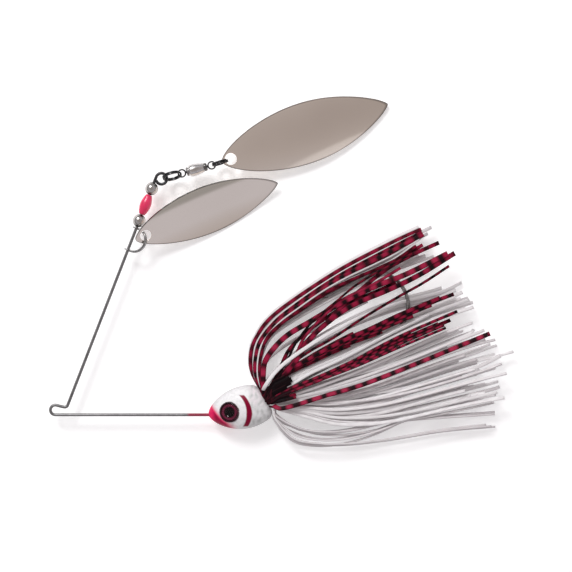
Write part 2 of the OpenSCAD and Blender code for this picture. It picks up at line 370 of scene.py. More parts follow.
def flat_section(w, h, r=0.35, n=3):
    """Rounded rectangle w by h; r is the corner radius as a share of h."""
    r = r * min(w, h)
    out = []
    for cx, cy, a0 in ((1, 1, 0), (-1, 1, 90), (-1, -1, 180), (1, -1, 270)):
        for k in range(n + 1):
            a = RAD(a0 + 90 * k / n)
            out.append((cx * (w / 2 - r) + r * math.cos(a), cy * (h / 2 - r) + r * math.sin(a)))
    return out


def turtle(start, heading, steps):
    """Points along straights ('s', length) and arcs ('a', radius, turn)."""
    p, h = Vector(start), heading
    pts = [p.copy()]
    for step in steps:
        if step[0] == "s":
            n = max(2, int(step[1]))
            for i in range(n):
                pts.append(p + vdir(h) * (step[1] * (i + 1) / n))
            p = pts[-1].copy()
        else:
            _, r, turn = step
            sgn = 1 if turn > 0 else -1
            c = p + vleft(h) * (sgn * r)
            n = max(4, int(abs(turn) / 5))
            for i in range(n):
                a = h + turn * (i + 1) / n
                pts.append(c - vleft(a) * (sgn * r))
            p = pts[-1].copy()
            h += turn
    return pts


def smooth(a, b, x):
    """A smooth step from 0 at a to 1 at b; b may be the smaller."""
    t = min(1.0, max(0.0, (x - a) / (b - a)))
    return t * t * (3 - 2 * t)


def lathe(profile, place, n=ROUND):
    """Turns [(z, r), ...] about the local z axis of place (a 4x4 in nose millimetres)."""
    verts, faces = [], []
    for z, r in profile:
        for k in range(n):
            a = 2 * math.pi * k / n
            verts.append(place @ Vector((r * math.cos(a), r * math.sin(a), z)))
    for i in range(len(profile) - 1):
        for k in range(n):
            l = (k + 1) % n
            faces.append((i * n + k, i * n + l, (i + 1) * n + l, (i + 1) * n + k))
    return verts, faces


def along(origin, heading):
    """Local z along a heading in the wire plane."""
    x = vdir(heading)
    y = vleft(heading)
    return Matrix(((0, y.x, x.x, origin.x), (0, y.y, x.y, origin.y), (1, 0, 0, origin.z), (0, 0, 0, 1)))


def rounded(profile, steps=4, cut=0.3):
    """Cuts the corners of an open (z, r) profile so that edges catch the light."""
    pts = [Vector(p) for p in profile]
    for _ in range(steps):
        new = [pts[0]]
        for a, b in zip(pts, pts[1:]):
            new += [a.lerp(b, cut), b.lerp(a, cut)]
        new.append(pts[-1])
        pts = new
        cut = 0.25
    return [tuple(p) for p in pts]


# ---------------------------------------------------------------- wire arm and hook


def build_wire():
    tie = Vector((-46.0, TIE_R, 0))
    n13 = vleft(-13)
    short_start = tie + n13 * TIE_R
    corner_at = CORNER + n13 * (TIE_R - (CORNER - tie).dot(n13))
    ct = math.tan(RAD((ARM + 13) / 2))
    corner_in = corner_at - vdir(-13) * ct
    up = (on_arm(ARM_EYE_AT) - corner_at).length - ct
    pts = turtle(
        (10.5, 0, 0),
        180,
        [
            ("s", 56.5),
            ("a", TIE_R, -193),
            ("s", (corner_in - short_start).length),
            ("a", 1.0, ARM + 13),
            ("s", up),
            ("a", ARM_EYE_R, -322),
        ],
    )
    v, f = sweep(pts, round_section(WIRE_R, 20))
    mark = [1.0 if (-5.9 < p.x and abs(p.y) < 2) else 0.0 for p in pts for _ in range(20)]
    # painted shade: the wire darkens within a few millimetres of its end eye
    painted_shade = [smooth(4.0, 2.0, (p - ARM_EYE).length) if p.y > 40 else 0.0 for p in pts for _ in range(20)]
    piece("wire_arm_rod", v, f, "frame", WIRE, ("wire_arm",), {"mark": mark, "painted_shade": painted_shade})


def build_hook():
    pts = turtle(COLLAR - vdir(SHANK) * 4, SHANK, [("s", 46.0), ("a", 9.8, 180), ("s", 11.0), ("s", 4.4)])
    n = len(pts)
    tip = pts[-1]
    scale = [min(1.0, max(0.06, (p - tip).length / 4.2)) if i > n - 7 else 1.0 for i, p in enumerate(pts)]
    v, f = sweep(pts, round_section(0.625, 20), scale=scale)
    piece("hook_rod", v, f, "frame", HOOK, ("hook",))
    leg = COLLAR + vdir(SHANK) * 42 + vleft(SHANK) * 19.6
    h = SHANK + 180
    base = leg + vdir(h) * 11.6
    prof = [(0, 1.35), (-0.25, 1.2), (1.6, 0.1), (3.2, 0.1)]
    verts = [base + vdir(h) * x + vleft(h) * y + Vector((0, 0, z)) for z in (-0.2, 0.2) for x, y in prof]
    faces = [(3, 2, 1, 0), (4, 5, 6, 7)] + [(i, (i + 1) % 4, (i + 1) % 4 + 4, i + 4) for i in range(4)]
    piece("hook_barb", verts, faces, "frame", HOOK)


# ---------------------------------------------------------------- head, eyes and collar


def eye_frame(side):
    """The seat of one eye: local z runs out of the cheek."""
    flip = Matrix.Diagonal((1, 1, side, 1))
    return Matrix.Translation((7.5, 1.1, 0)) @ Matrix.Rotation(RAD(-17 * side), 4, "Y") @ flip


def head_color(p):
    """Pearl white with a crimson nose and chin, a crimson gill arc and grey scaling at the rear, with painted
    shade along the outline and towards the belly.
    """
    x, y = p.x, p.y
    white = Vector((0.93, 0.925, 0.935))
    pink = Vector((0.80, 0.018, 0.12))
    deep = Vector((0.24, 0.0, 0.028))
    c = white.copy()
    # painted shade: the paint greys where the head turns away along the outline
    c = c.lerp(Vector((0.56, 0.54, 0.56)), 0.8 * (1 - smooth(0.0, 3.3, abs(p.z))))
    # nose and chin
    chin_y = -4.6 + 0.085 * (x - 9.5) ** 2 if x < 9.5 else -4.6
    edge = 1 - smooth(0.5, 2.6, y - chin_y)
    chin = edge * (1 - smooth(5.0, 9.5, x))
    nose = 1 - smooth(0.8, 4.6, x + 0.8 * max(0.0, y - 0.5) + 0.1 * max(0.0, -y))
    c = c.lerp(pink, min(1.0, max(chin, nose)))
    line = (1 - smooth(0.1, 0.9, y - chin_y)) * smooth(1.0, 2.5, x) * (1 - smooth(5.0, 8.5, x))
    c = c.lerp(deep, 0.8 * line)
    # irregular grey scales behind the gill, and painted shade darker towards the belly
    back = smooth(11.6, 13.2, x)
    u, v = 2.4 * x + 0.9 * math.sin(1.3 * y + 0.7 * x), 1.1 * y + 0.8 * math.sin(1.9 * x - 0.6 * y)
    s = 0.5 + 0.5 * math.sin(u + 0.4 * v) * math.sin(1.3 * v - 0.5 * u + 1.0)
    c = c.lerp(Vector((0.42, 0.43, 0.42)), back * (0.10 + 0.55 * s ** 2))
    c = c.lerp(Vector((0.88, 0.68, 0.76)), 0.35 * back * (1 - s) * smooth(2.0, 5.0, y))
    # painted shade: greyer towards the belly at the rear
    c = c.lerp(Vector((0.52, 0.52, 0.51)), 0.5 * smooth(9.0, 13.0, x) * (1 - smooth(-3.8, 0.5, y)))
    # gill arc
    g = abs(math.hypot(x - 4.9, y - 0.8) - 7.45)
    wide = 0.82 - 0.06 * abs(y - 0.6)
    span = smooth(-3.5, -3.0, y) * (1 - smooth(6.0, 6.4, y)) * (1.0 if x > 7 else 0.0)
    c = c.lerp(deep, (1 - smooth(wide - 0.06, wide + 0.14, g)) * span)
    return tuple(c)


def build_head():
    n_u, n_a = 170, 220
    ax = vdir(12)
    lf = vleft(12)
    nrm = vdir(SHANK)
    fillet = 1.9
    verts, faces = [], []
    for k in range(n_a):
        a = 2 * math.pi * k / n_a
        ca, sa = math.cos(a), math.sin(a) * 9.6 / 12.9

        def at(t):
            r = 6.45 * max(0.0, math.sin(math.pi * t / 22.5)) ** 0.58
            return ax * t + lf * (r * ca) + Vector((0, 0, r * sa))

        lo, hi = 8.0, 22.5
        for _ in range(30):
            mid = (lo + hi) / 2
            if (at(mid) - COLLAR).dot(nrm) > 0:
                hi = mid
            else:
                lo = mid
        for i in range(n_u):
            s = 0.5 - 0.5 * math.cos(math.pi * i / (n_u - 1))
            p = at(0.0004 + s * (lo - 0.0004))
            # the back edge is rounded towards the shank
            d = max(0.0, (COLLAR - p).dot(nrm))
            if d < fillet:
                axis = COLLAR - nrm * d
                out = p - axis
                cut = fillet - math.sqrt(fillet ** 2 - (fillet - d) ** 2)
                p = axis + out * ((out.length - cut) / out.length)
            verts.append(p)
        edge = verts[-1]
        for share in (0.7, 0.35, 0.02):
            verts.append(COLLAR + (edge - COLLAR) * share)
    m = n_u + 3
    for k in range(n_a):
        l = (k + 1) % n_a
        for i in range(m - 1):
            faces.append((k * m + i, k * m + i + 1, l * m + i + 1, l * m + i))
    cols = [head_color(v) for v in verts]
    # shallow round seats for the eyes, painted dark inside as shade
    for side in (1, -1):
        seat = eye_frame(side)
        inv = seat.inverted()
        for i, p in enumerate(verts):
            q = inv @ p
            r = math.hypot(q.x, q.y)
            if q.z > 3.4 and r < 3.2:
                if r > 3.0:
                    q.x, q.y = q.x * 3.1 / r, q.y * 3.1 / r
                if r < 3.1:
                    q.z = min(q.z, 3.5)
                    # painted shade: the seat's recess is near black
                    cols[i] = (0.02, 0.008, 0.01)
                verts[i] = seat @ q
    piece("head_shell", verts, faces, "frame", HEAD, ("head",), colors=cols)
    v, f = lathe([(-1, 1.5), (3.9, 1.5), (4.7, 1.4), (4.9, 1.2), (4.9, 0.6)], along(COLLAR, SHANK))
    piece("keeper", v, f, "frame", HEAD, colors=[(0.5, 0.47, 0.48)] * len(v))


def build_eyes():
    r1 = EYE_R
    for side, word in ((1, "left"), (-1, "right")):
        place = eye_frame(side) @ Matrix.Translation((0, 0, 3.53))
        prof = [(0.3, r1 * i / 30) for i in range(31)] + [(0.2, r1), (0.0, r1), (0.0, 0.0)]
        v, f = lathe(prof, place, 64)
        if side < 0:
            f = [tuple(reversed(x)) for x in f]
        rad = [r / r1 for z, r in prof for _ in range(64)]
        piece("eye_disc_" + word, v, f, "frame", FOIL, ("eye_foil_" + word,), {"rad": rad})
        ball = (r1 * r1 + 0.65 * 0.65) / 1.3
        prof = [(0.33, 0.0), (0.33, r1 - 0.03), (0.48, r1 - 0.02)]
        for i in range(1, 21):
            r = r1 * (1 - i / 20)
            prof.append((0.33 + 0.8 - ball + math.sqrt(ball * ball - r * r), r))
        v, f = lathe(prof, place, 64)
        if side < 0:
            f = [tuple(reversed(x)) for x in f]
        piece("eye_dome_" + word, v, f, "frame", LENS, ("eye_lens_" + word,))


def build_collar():
    prof = [
        (0.3, 1.62), (0.3, 2.7), (0.6, 3.0), (1.5, 3.06), (2.4, 3.0), (2.75, 2.7), (2.8, 1.62), (0.3, 1.62),
    ]
    v, f = lathe(rounded(prof, 2), along(COLLAR, SHANK))
    piece("collar_band", v, f, "frame", RUBBER, ("skirt_collar",))


# ---------------------------------------------------------------- tackle on the arm


def build_beads():
    for name, s in (("bead_lower", BEAD_LOW), ("bead_upper", BEAD_UP)):
        r = BEAD_D / 2
        prof = []
        a0 = math.asin(0.55 / r)
        for i in range(33):
            a = a0 + (math.pi - 2 * a0) * i / 32
            prof.append((-r * math.cos(a), r * math.sin(a)))
        prof.append((prof[0][0] * -1, 0.55))
        prof = [(prof[0][0], 0.52)] + prof + [(prof[0][0], 0.52)]
        v, f = lathe(prof, along(on_arm(s), ARM))
        # painted shade: each ball bead darkens towards its holes
        painted_shade = [smooth(0.50, 0.92, abs(z) / r) for z, _ in prof for _ in range(ROUND)]
        piece(name + "_ball", v, f, name, BALL, (name,), {"painted_shade": painted_shade})
    h = SPINDLE / 2
    prof = [
        (-h, 0.55), (-h, 0.85), (-h + 0.9, 1.25), (-0.7, 1.65), (0.7, 1.65), (h - 0.9, 1.25), (h, 0.85),
        (h, 0.55), (-h, 0.55),
    ]
    v, f = lathe(rounded(prof, 2, 0.2), along(on_arm((BEAD_LOW + BEAD_UP) / 2), ARM))
    piece("bead_spindle_body", v, f, "bead_spindle", RED, ("bead_spindle",))


def clevis_frame():
    x = -vleft(ARM) * math.cos(RAD(TILT)) + Vector((0, 0, math.sin(RAD(TILT))))
    y = vdir(ARM)
    return on_arm(CLEVIS_AT), x, y, x.cross(y)


def build_clevis():
    o, x, y, z = clevis_frame()
    r = CLEVIS_R
    pts = [o + y * -r + x * 0.5, o + y * -r + x * 1.0]
    pts += [o + x + (x * math.cos(RAD(a)) + y * math.sin(RAD(a))) * r for a in range(-85, 90, 5)]
    pts += [o + y * r + x * 1.0, o + y * r + x * 0.5]
    v, f = sweep(pts, flat_section(0.66, 1.15), up=z)
    for s in (-1, 1):
        place = Matrix.Translation(o + y * (s * r - 0.17)) @ y.to_track_quat("Z", "Y").to_matrix().to_4x4()
        prof = rounded([(0, 0.55), (0, 1.14), (0.34, 1.14), (0.34, 0.55), (0, 0.55)], 2, 0.15)
        v2, f2 = lathe(prof, place, 40)
        f += [tuple(i + len(v) for i in q) for q in f2]
        v += v2
    piece("clevis_strip", v, f, "clevis", HOOK, ("clevis",))


# ---------------------------------------------------------------- blades


def blade_mesh(l, w, hole, near, place):
    """A cupped leaf l by w with a hole near one end; a vertex attribute marks its outline, which the material
    paints dark as painted shade.
    """
    sheet = 0.45
    long_r, cross_r, mid = 3.45 * l, 2.1 * w, l / 2 - near

    def height(x, y):
        return ((x - mid) ** 2 - mid * mid) / (2 * long_r) + y * y / (2 * cross_r)

    def half_width(u):
        return w / 2 * max(0.0, math.sin(math.pi * u)) ** (0.62 if u < 0.5 else 0.72)

    outline = []
    n = 110
    for i in range(n + 1):
        u = 0.5 - 0.5 * math.cos(math.pi * i / n)
        outline.append((l * u - near, half_width(u)))
    outline = outline[1:] + [(x, -y) for x, y in reversed(outline[1:-1])]
    m = len(outline)
    rings = 46
    flat = []
    for j in range(rings + 1):
        s = (j / rings) ** 1.1
        for ox, oy in outline:
            a = math.atan2(oy, ox)
            ix, iy = hole / 2 * math.cos(a), hole / 2 * math.sin(a)
            flat.append((ix + (ox - ix) * s, iy + (oy - iy) * s))
    verts, faces = [], []
    for top in (True, False):
        for x, y in flat:
            verts.append(Vector((x, y, height(x, y) + (sheet if top else 0.0))))
    half = len(flat)
    for j in range(rings):
        for k in range(m):
            l2 = (k + 1) % m
            a, b, c, d = j * m + k, j * m + l2, (j + 1) * m + l2, (j + 1) * m + k
            faces.append((a, b, c, d))
            faces.append((half + d, half + c, half + b, half + a))
    for k in range(m):
        l2 = (k + 1) % m
        faces.append((rings * m + k, rings * m + l2, half + rings * m + l2, half + rings * m + k))
        faces.append((half + k, half + l2, l2, k))
    # painted shade mask along the outline
    rim = []
    for x, y in flat:
        u = min(1.0, max(0.0, (x + near) / l))
        rim.append(1 - smooth(0.12, 0.36, half_width(u) - abs(y)))
    rim *= 2
    return [place @ v for v in verts], faces, {"rim": rim}


def build_blades():
    o, x, y, z = clevis_frame()
    a = RAD(45)
    hang = CLEVIS_R + 0.2
    at = o + x * (1.0 + hang * math.cos(a)) + y * (hang * math.sin(a))
    place = (
        Matrix.Translation(at)
        @ Matrix.Rotation(RAD(22.2), 4, "Z")
        @ Matrix.Rotation(RAD(5.0), 4, "Y")
        @ Matrix.Rotation(RAD(28), 4, "X")
    )
    v, f, rim = blade_mesh(46.0, 15.3, 3.4, 3.3, place)
    bevel(piece("front_blade_leaf", v, f, "front_blade", BLADE, ("front_blade",), rim))
    place = (
        Matrix.Translation((6.6, 76.8, -1.0))
        @ Matrix.Rotation(RAD(19.6), 4, "Z")
        @ Matrix.Rotation(RAD(3.75), 4, "Y")
    )
    v, f, rim = blade_mesh(53.2, 18.4, 3.6, 2.8, place)
    bevel(piece("rear_blade_leaf", v, f, "rear_blade", BLADE, ("rear_blade",), rim))


def bevel(ob):
    """Breaks the sharp edges of a sheet so that they catch the light."""
    b = ob.modifiers.new("edge", "BEVEL")
    b.width = 0.00012
    b.segments = 2
    b.limit_method = "ANGLE"
    b.angle_limit = RAD(40)
    b.harden_normals = True


# ---------------------------------------------------------------- swivel and rings


def split_ring(name, centre, heading, roll, r, body, node):
    """Flat wire wound nearly twice round."""
    rot = Matrix.Translation(centre) @ Matrix.Rotation(
        RAD(heading), 4, "Z",
    ) @ Matrix.Rotation(RAD(roll), 4, "X")
    pts = []
    turns, n = 1.94, 150
    for i in range(n + 1):
        t = i / n
        a = 2 * math.pi * turns * t + 0.6
        rise = 0.25 * math.tanh((t - 0.5) * 2 * turns * 4.5)
        pts.append(rot @ Vector((r * math.cos(a), r * math.sin(a), rise)))
    zaxis = (rot.to_3x3() @ Vector((0, 0, 1))).normalized()
    v, f = [], []
    sec = flat_section(0.5, 0.46, 0.3)
    for i, p in enumerate(pts):
        side = (p - centre)
        side -= zaxis * side.dot(zaxis)
        side.normalize()
        for sx, sy in sec:
            v.append(p + side * sx + zaxis * sy)
    m = len(sec)
    for i in range(len(pts) - 1):
        for k in range(m):
            l = (k + 1) % m
            f.append((i * m + k, i * m + l, (i + 1) * m + l, (i + 1) * m + k))
    f.append(tuple(reversed(range(m))))
    f.append(tuple((len(pts) - 1) * m + k for k in range(m)))
    piece(name, v, f, body, DARK, (node,))


def swivel_eye(name, centre, heading, body, node):
    pts = [centre + vdir(a) * 1.1 for a in range(0, 360, 8)]
    v, f = sweep(pts, round_section(0.225, 16), closed=True)
    v2, f2 = lathe(
        rounded(
            [(1.1, 0.3), (1.5, 0.45), (2.0, 0.35), (3.1, 0.35), (3.1, 0.75), (3.6, 0.75), (3.6, 0.01)], 1,
        ),
        along(centre, heading),
        28,
    )
    f += [tuple(i + len(v) for i in q) for q in f2]
    v += v2
    piece(name, v, f, body, DARK, (node,))


def build_swivel():
    start = SWIVEL_F + vdir(SWIVEL) * 1.45
    front_collar = [(0.0, 0.5), (0.0, 1.1), (0.1, 1.3), (0.45, 1.42), (0.62, 1.25), (0.8, 1.25)]
    belly = [(0.9, 1.7), (1.4, 1.87), (2.6, 1.87), (3.8, 1.70), (5.0, 1.45), (5.3, 1.38)]
    rear_collar = [(5.42, 1.15), (5.55, 1.15), (5.65, 1.28), (6.1, 1.22), (BARREL, 1.05), (BARREL, 0.5)]
    prof = rounded(front_collar + belly + rear_collar, 1, 0.25)
    inner = [(5.8, 0.5), (5.4, 0.9), (2.8, 0.9), (2.6, 1.4), (1.0, 1.4), (0.5, 1.1), (0.4, 0.5)]
    prof += inner + [prof[0]]
    v, f = lathe(prof, along(start, SWIVEL))
    # painted shade: the barrel darkens at both ends
    painted_shade = []
    for z, _ in prof:
        painted_shade += [max(0.7 * (1 - smooth(0.3, 0.9, z)), 0.8 * smooth(5.1, 5.7, z))] * ROUND
    piece("swivel_barrel_body", v, f, "swivel_barrel", NICKEL, ("swivel_barrel",), {"painted_shade": painted_shade})
    swivel_eye("swivel_front_loop", SWIVEL_F, SWIVEL, "swivel_front_eye", "swivel_front_eye")
    swivel_eye("swivel_rear_loop", SWIVEL_R, SWIVEL + 180, "swivel_rear_eye", "swivel_rear_eye")
    split_ring("split_ring_front_coil", RING_A_C, SWIVEL, 75, RING_A, "split_ring_front", "split_ring_front")
    split_ring("split_ring_rear_coil", RING_B_C, REAR_RING, 90, RING_B, "split_ring_rear", "split_ring_rear")
    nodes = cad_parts["swivel_balls"]
    nodes.data.materials.clear()
    nodes.data.materials.append(BALL)


# ---------------------------------------------------------------- skirt


def spline(ctrl, n):
    """Catmull-Rom through control points, evenly spaced in arc length."""
    p = [ctrl[0] * 2 - ctrl[1]] + ctrl + [ctrl[-1] * 2 - ctrl[-2]]
    dense = []
    for i in range(1, len(p) - 2):
        for k in range(24):
            t = k / 24
            a, b, c, d = p[i - 1], p[i], p[i + 1], p[i + 2]
            square = 2 * a - 5 * b + 4 * c - d
            cube = 3 * b - a - 3 * c + d
            dense.append(0.5 * ((2 * b) + (c - a) * t + square * t * t + cube * t ** 3))
    dense.append(p[-2])
    s = [0.0]
    for a, b in zip(dense, dense[1:]):
        s.append(s[-1] + (b - a).length)
    out, j = [], 0
    for i in range(n):
        want = s[-1] * i / (n - 1)
        while j < len(s) - 2 and s[j + 1] < want:
            j += 1
        k = (want - s[j]) / max(1e-9, s[j + 1] - s[j])
        out.append(dense[j].lerp(dense[j + 1], k))
    return out, s[-1]


class Bundle:
    """One mesh of many strands."""

    def __init__(self, name, material, stands_for=()):
        self.name, self.material, self.stands_for = name, material, stands_for
        self.v, self.f, self.bars, self.tone, self.edge = [], [], [], [], []

    def add(
        self, ctrl, rng, w=1.15, h=0.5, tone=0.5, bar=0.0, black=0.0, cut=0.0, period=4.1, phase=None, n=80,
    ):
        pts, length = spline([Vector(c) for c in ctrl], n)
        keep = max(8, int(n * (1 - cut / length)))
        pts = pts[:keep]
        sec = flat_section(w, h, 0.42, 2)
        inner = w / 2 - 0.42 * h
        # the cut sides, which the material paints darker as shade
        edge = [min(1.0, max(0.0, (abs(x) - inner) / (0.42 * h))) for x, y in sec]
        lean = rng.uniform(-0.35, 0.35)
        twist = rng.uniform(-0.8, 0.8) * (0.3 if self.material == RED_STRAND else 1.0)
        rolls = [lean + twist * (i / (n - 1)) ** 2 for i in range(keep)]
        base = len(self.v)
        v, f = sweep(pts, sec, roll=rolls, level=True)
        self.v += v
        self.f += [tuple(i + base for i in q) for q in f]
        drawn = rng.uniform(0, period)
        phase = drawn if phase is None else phase
        for i in range(keep):
            s = length * i / (n - 1)
            x = ((s + phase) % period) / period
            b = bar * (smooth(0.0, 0.07, x) * (1 - smooth(0.48, 0.55, x)))
            # black: the first black millimetres of the strand are dark, partly dark strand roots and partly
            # painted shade at the collar
            b = max(b, 1 - smooth(black - 1.0, black, s)) if black else b
            self.bars += [b] * len(sec)
            self.tone += [min(1.0, max(0.0, tone + 0.06 * math.sin(s * 0.7 + phase)))] * len(sec)
            self.edge += edge

    def build(self):
        attrs = {"bars": self.bars, "tone": self.tone, "edge": self.edge}
        piece(self.name, self.v, self.f, "frame", self.material, self.stands_for, attrs)


def root(phi, r, out):
    """A point round the shank at angle phi: 0 towards the blades, 90 up, 180 away from them."""
    side = vleft(SHANK) * (r * math.cos(RAD(phi)))
    return COLLAR + vdir(SHANK) * out + side + Vector((0, 0, r * math.sin(RAD(phi))))


def strand(
    bundle, rng, guide, z0, z1, phi, fan=0.0, wander=0.25, sway=0.0, fold=1.2, over=3.75, drop=1.0, **kw,
):
    """A strand out of the collar's front edge, folded back and run along guide (x, y) points.

    Its height runs from z0 to z1, later for a larger drop; fan carries its tip sideways, sway
    bends it to one side and back, and wander shakes it a little.
    """
    pts = [root(phi, 1.9, 0.15), root(phi, min(3.0, over - 0.6), 0.12)]
    if fold:
        pts.append(root(phi, over, fold))
    first, last = Vector(guide[0]), Vector(guide[-1])
    across = (last - first).normalized()
    across = Vector((-across.y, across.x))
    dx, dy = rng.gauss(0, wander), rng.gauss(0, wander)
    m = len(guide)
    for i, (x, y) in enumerate(guide):
        k = (i + 1) / m
        z = z0 + (z1 - z0) * k ** drop
        dk = fan * k + sway * math.sin(2 * math.pi * k)
        pts.append(Vector((x + dx * k + across.x * dk, y + dy * k + across.y * dk, min(4.3, max(-4.3, z)))))
    bundle.add(pts, rng, **kw)


def between(a, b, k):
    """The path a share k of the way from path a to path b."""
    a2, _ = spline([Vector((x, y, 0)) for x, y in a], 9)
    b2, _ = spline([Vector((x, y, 0)) for x, y in b], 9)
    return [((p.lerp(q, k)).x, (p.lerp(q, k)).y) for p, q in zip(a2, b2)]


def build_skirt():
    rng = random.Random(7)
    red_n = Bundle("strands_red_near", RED_STRAND, ("skirt_upper_near", "skirt_middle_near"))
    red_f = Bundle("strands_red_far", RED_STRAND, ("skirt_upper_far", "skirt_middle_far"))
    white_n = Bundle("strands_pearl_near", PEARL_STRAND, ("skirt_lower_near",))
    white_f = Bundle("strands_pearl_far", PEARL_STRAND, ("skirt_lower_far",))

    # Upper group: three arching runs that leave the collar square to the shank.
    arch_1 = [
        (13.2, 12.5), (12.6, 17.5), (14.2, 23.0), (20.2, 30.5), (38.0, 42.7), (54.0, 51.2), (63.6, 55.6),
    ]
    arch_2 = [
        (14.2, 12.5), (14.4, 18.0), (16.8, 23.6), (23.5, 30.0), (38.0, 40.1), (52.0, 47.6), (64.2, 54.0),
    ]
    arch_3 = [
        (15.3, 12.5), (15.8, 18.0), (18.5, 24.5), (28.0, 32.0), (38.0, 38.4), (54.0, 45.4), (62.0, 50.6),
    ]
    strand(red_n, rng, arch_1, 1.2, 1.6, 35, wander=0, fold=0, tone=0.3, bar=0.75, w=1.15)
    strand(red_n, rng, arch_2, 2.6, 2.6, 50, wander=0, fold=0, tone=0.35, bar=1.0, w=1.35)
    strand(
        red_n, rng, between(arch_1, arch_2, 0.7), 2.0, 2.0, 45, wander=0, fan=0.3, fold=0, tone=0.3,
        bar=1.0, w=1.1,
    )
    strand(red_n, rng, arch_3, 3.0, 3.0, 60, wander=0, fold=0, tone=0.15, bar=0.8, w=1.0)
    strand(
        red_n, rng, between(arch_2, arch_3, 0.55), 2.4, 2.2, 55, wander=0, fan=-1.6, fold=0, tone=0.35,
        bar=0.9, w=1.1,
    )
    strand(red_f, rng, between(arch_1, arch_2, 0.4), -1.5, -1.2, -30, fold=0, tone=0.3, bar=0.9)
    strand(red_f, rng, between(arch_2, arch_3, 0.2), -2.5, -2.2, -50, fold=0, tone=0.3, bar=0.9)

    # Second group: a barred pair, with thin strands that cross up over it.
    pair_1 = [
        (16.4, 11.5), (17.4, 17.0), (22.9, 23.4), (31.0, 28.4), (40.6, 34.1), (50.0, 38.6), (59.3, 42.3),
        (71.3, 48.3),
    ]
    pair_2 = [
        (23.5, 12.5), (27.4, 19.5), (33.5, 26.0), (42.5, 32.6), (54.0, 37.6), (63.0, 42.0), (73.4, 48.4),
    ]
    strand(red_n, rng, pair_1, 3.0, 3.6, 65, wander=0, fold=0, tone=0.55, bar=1.0, w=1.65, period=3.9)
    strand(red_n, rng, pair_2, 2.8, 3.2, 70, wander=0, fold=0, tone=0.5, bar=1.0, w=1.6, black=9, period=3.9)
    strand(
        red_n, rng, between(pair_1, pair_2, 0.6), 2.6, 2.4, 68, wander=0, fold=0, tone=0.25, bar=1.0, w=1.2,
        cut=18,
    )
    cross_1 = [(23.0, 15.5), (26.2, 21.8), (31.0, 28.0), (38.0, 34.0), (46.0, 40.3), (60.5, 48.3)]
    cross_2 = [(24.5, 15.0), (28.5, 23.0), (34.0, 29.2), (40.0, 34.5), (50.0, 39.6), (63.0, 47.5)]
    cross_3 = [
        (26.0, 16.0), (30.5, 22.8), (35.0, 27.5), (41.0, 33.8), (52.0, 43.0), (60.0, 47.7), (68.6, 51.7),
    ]
    strand(red_n, rng, cross_1, 3.4, 4.2, 72, fold=0, tone=0.0, bar=1.0, w=0.7, black=30)
    strand(red_n, rng, cross_2, 3.2, 3.6, 74, fold=0, tone=0.6, bar=0.5, w=0.9, black=9, cut=6)
    strand(red_n, rng, cross_3, 3.4, 2.8, 76, fold=0, tone=0.4, bar=0.9, w=1.25, black=10)

    # Third group, over the hook bend.
    bend_1 = [
        (22.4, 13.2), (29.8, 18.9), (37.0, 23.0), (46.0, 29.0), (56.5, 35.3), (64.0, 39.5), (71.8, 44.6),
    ]
    bend_2 = [(21.7, 11.6), (31.0, 17.3), (40.9, 22.4), (48.7, 25.7), (57.7, 29.9), (69.3, 34.7)]
    strand(red_n, rng, bend_1, 3.4, 2.6, 85, wander=0, tone=0.1, bar=1.0, w=0.85, black=11)
    strand(red_n, rng, bend_2, 3.4, 2.6, 88, wander=0, fan=0.5, tone=0.4, bar=1.0, w=1.25, black=9)
    strand(red_n, rng, bend_2, 3.0, 2.2, 92, wander=0, fan=-0.6, cut=2.5, tone=0.3, bar=1.0, w=1.2, black=12)
    strand(red_n, rng, bend_2 + [(73.3, 36.2)], 2.6, 1.8, 86, wander=0, tone=0.3, bar=1.0, black=8)
    strand(red_n, rng, bend_2, 3.2, 2.4, 84, fan=1.6, cut=27, tone=0.1, bar=1.0, black=14, w=1.0)
    strand(red_f, rng, bend_2, -0.9, -1.6, -80, fan=0.3, tone=0.1, bar=0.7, black=12)
    # A short black clump at the roots: partly dark strands, partly painted shadow where the strands crowd at
    # the collar.
    for phi, y, end in (
        (78, 10.7, 23.0), (83, 10.0, 24.2), (88, 9.2, 24.9), (93, 8.4, 24.6), (98, 7.7, 23.4),
    ):
        clump = [(19.6, y - 1.0), (21.3, y), (end, y + 0.5 * (end - 21.3))]
        strand(red_n, rng, clump, 4.0, 3.9, phi, fold=0, wander=0, tone=0.0, bar=1.0, black=40, w=1.5, n=30)

